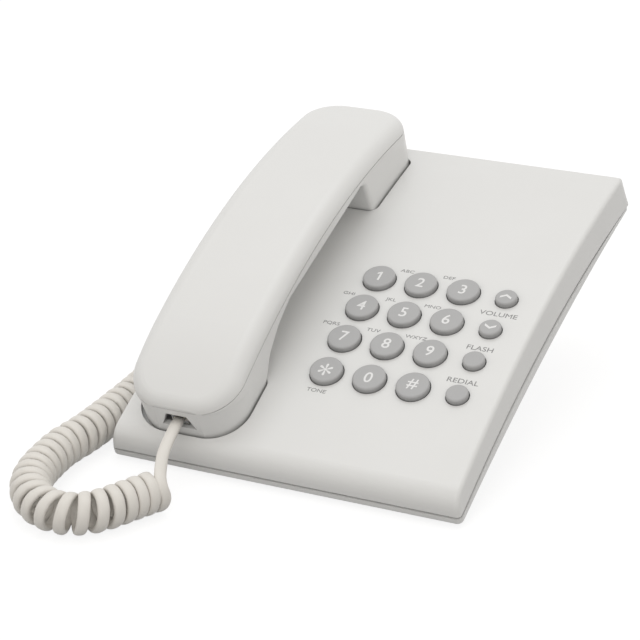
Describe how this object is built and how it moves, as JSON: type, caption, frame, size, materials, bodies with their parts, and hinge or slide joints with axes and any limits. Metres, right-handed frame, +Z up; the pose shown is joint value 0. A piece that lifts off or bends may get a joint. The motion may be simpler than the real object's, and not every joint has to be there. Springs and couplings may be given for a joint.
{
  "type": "corded desk telephone",
  "caption": "Wedge-shaped corded desk telephone with a push-button keypad and a lift-off handset on a curly cord.",
  "frame": {"origin": "on the table, under the middle of the telephone without its cord", "axes": "+X to the user's right, +Y away from the user, +Z up"},
  "size_m": [0.1748, 0.2599, 0.0977],
  "materials": {
    "shell_plastic": "fine satin",
    "key_plastic": "satin",
    "cord_jacket": "soft vinyl",
    "clear_plug": "clear moulded",
    "dark_plastic": "satin",
    "foot_rubber": "matte",
    "board_laminate": "coated",
    "steel_parts": "zinc plated",
    "sounder_brass": "plain"
  },
  "bodies": {
    "base": {"base_upper_housing": "shell_plastic", "base_lower_housing": "shell_plastic", "desk_stand": "shell_plastic", "stand_feet": "foot_rubber", "front_feet": "foot_rubber", "base_screws": "steel_parts", "board_screws": "steel_parts", "main_circuit_board": "board_laminate", "keypad_membrane": "foot_rubber", "hook_switch": "dark_plastic", "ringer_disc": "sounder_brass", "handset_jack_base": "dark_plastic", "line_jack": "dark_plastic", "base_plug": "clear_plug", "base_lead": "cord_jacket", "handset_coil": "cord_jacket"},
    "handset": {"handset_outer_shell": "shell_plastic", "handset_inner_shell": "shell_plastic", "earpiece_gasket": "foot_rubber", "earpiece_speaker": "steel_parts", "microphone_boot": "foot_rubber", "microphone": "steel_parts", "handset_socket": "dark_plastic", "handset_weight": "steel_parts", "handset_screws": "steel_parts", "handset_plug": "clear_plug", "handset_lead": "cord_jacket"},
    "hook": {"hook_plunger": "shell_plastic"},
    "ringer_slider": {"ringer_switch": "dark_plastic"},
    "dial_mode_slider": {"dial_mode_switch": "dark_plastic"},
    "key_star_body": {"key_star": "key_plastic"},
    "key_0_body": {"key_0": "key_plastic"},
    "key_hash_body": {"key_hash": "key_plastic"},
    "redial_key_body": {"redial_key": "key_plastic"},
    "key_7_body": {"key_7": "key_plastic"},
    "key_8_body": {"key_8": "key_plastic"},
    "key_9_body": {"key_9": "key_plastic"},
    "flash_key_body": {"flash_key": "key_plastic"},
    "key_4_body": {"key_4": "key_plastic"},
    "key_5_body": {"key_5": "key_plastic"},
    "key_6_body": {"key_6": "key_plastic"},
    "volume_down_key_body": {"volume_down_key": "key_plastic"},
    "key_1_body": {"key_1": "key_plastic"},
    "key_2_body": {"key_2": "key_plastic"},
    "key_3_body": {"key_3": "key_plastic"},
    "volume_up_key_body": {"volume_up_key": "key_plastic"}
  },
  "joints": [
    {"name": "handset_lift", "type": "slide", "parent": "base", "child": "handset", "axis": [0, -0.3338, 0.9426], "range_m": [0, 0.09], "deforming": ["handset_coil", "handset_lead"]},
    {"name": "hook_rise", "type": "slide", "parent": "base", "child": "hook", "axis": [0, -0.2377, 0.9713], "range_m": [0, 0.005]},
    {"name": "key_star_press", "type": "slide", "parent": "base", "child": "key_star_body", "axis": [0, 0.4037, -0.9149], "range_m": [0, 0.0015], "stiffness_N_per_m": 500},
    {"name": "key_0_press", "type": "slide", "parent": "base", "child": "key_0_body", "axis": [0, 0.4037, -0.9149], "range_m": [0, 0.0015], "stiffness_N_per_m": 500},
    {"name": "key_hash_press", "type": "slide", "parent": "base", "child": "key_hash_body", "axis": [0, 0.4037, -0.9149], "range_m": [0, 0.0015], "stiffness_N_per_m": 500},
    {"name": "redial_key_press", "type": "slide", "parent": "base", "child": "redial_key_body", "axis": [0, 0.4037, -0.9149], "range_m": [0, 0.0015], "stiffness_N_per_m": 500},
    {"name": "key_7_press", "type": "slide", "parent": "base", "child": "key_7_body", "axis": [0, 0.3787, -0.9255], "range_m": [0, 0.0015], "stiffness_N_per_m": 500},
    {"name": "key_8_press", "type": "slide", "parent": "base", "child": "key_8_body", "axis": [0, 0.3787, -0.9255], "range_m": [0, 0.0015], "stiffness_N_per_m": 500},
    {"name": "key_9_press", "type": "slide", "parent": "base", "child": "key_9_body", "axis": [0, 0.3787, -0.9255], "range_m": [0, 0.0015], "stiffness_N_per_m": 500},
    {"name": "flash_key_press", "type": "slide", "parent": "base", "child": "flash_key_body", "axis": [0, 0.3787, -0.9255], "range_m": [0, 0.0015], "stiffness_N_per_m": 500},
    {"name": "key_4_press", "type": "slide", "parent": "base", "child": "key_4_body", "axis": [0, 0.3535, -0.9355], "range_m": [0, 0.0015], "stiffness_N_per_m": 500},
    {"name": "key_5_press", "type": "slide", "parent": "base", "child": "key_5_body", "axis": [0, 0.3535, -0.9355], "range_m": [0, 0.0015], "stiffness_N_per_m": 500},
    {"name": "key_6_press", "type": "slide", "parent": "base", "child": "key_6_body", "axis": [0, 0.3535, -0.9355], "range_m": [0, 0.0015], "stiffness_N_per_m": 500},
    {"name": "volume_down_key_press", "type": "slide", "parent": "base", "child": "volume_down_key_body", "axis": [0, 0.3535, -0.9355], "range_m": [0, 0.0015], "stiffness_N_per_m": 500},
    {"name": "key_1_press", "type": "slide", "parent": "base", "child": "key_1_body", "axis": [0, 0.3279, -0.9447], "range_m": [0, 0.0015], "stiffness_N_per_m": 500},
    {"name": "key_2_press", "type": "slide", "parent": "base", "child": "key_2_body", "axis": [0, 0.3279, -0.9447], "range_m": [0, 0.0015], "stiffness_N_per_m": 500},
    {"name": "key_3_press", "type": "slide", "parent": "base", "child": "key_3_body", "axis": [0, 0.3279, -0.9447], "range_m": [0, 0.0015], "stiffness_N_per_m": 500},
    {"name": "volume_up_key_press", "type": "slide", "parent": "base", "child": "volume_up_key_body", "axis": [0, 0.3279, -0.9447], "range_m": [0, 0.0015], "stiffness_N_per_m": 500},
    {"name": "ringer_switch_slide", "type": "slide", "parent": "base", "child": "ringer_slider", "axis": [1, 0, 0], "range_m": [-0.002, 0.002]},
    {"name": "dial_mode_switch_slide", "type": "slide", "parent": "base", "child": "dial_mode_slider", "axis": [1, 0, 0], "range_m": [-0.002, 0.002]}
  ],
  "couplings": [
    {"joint": "hook_rise", "follows": "handset_lift", "ratio": 0.055556}
  ]
}
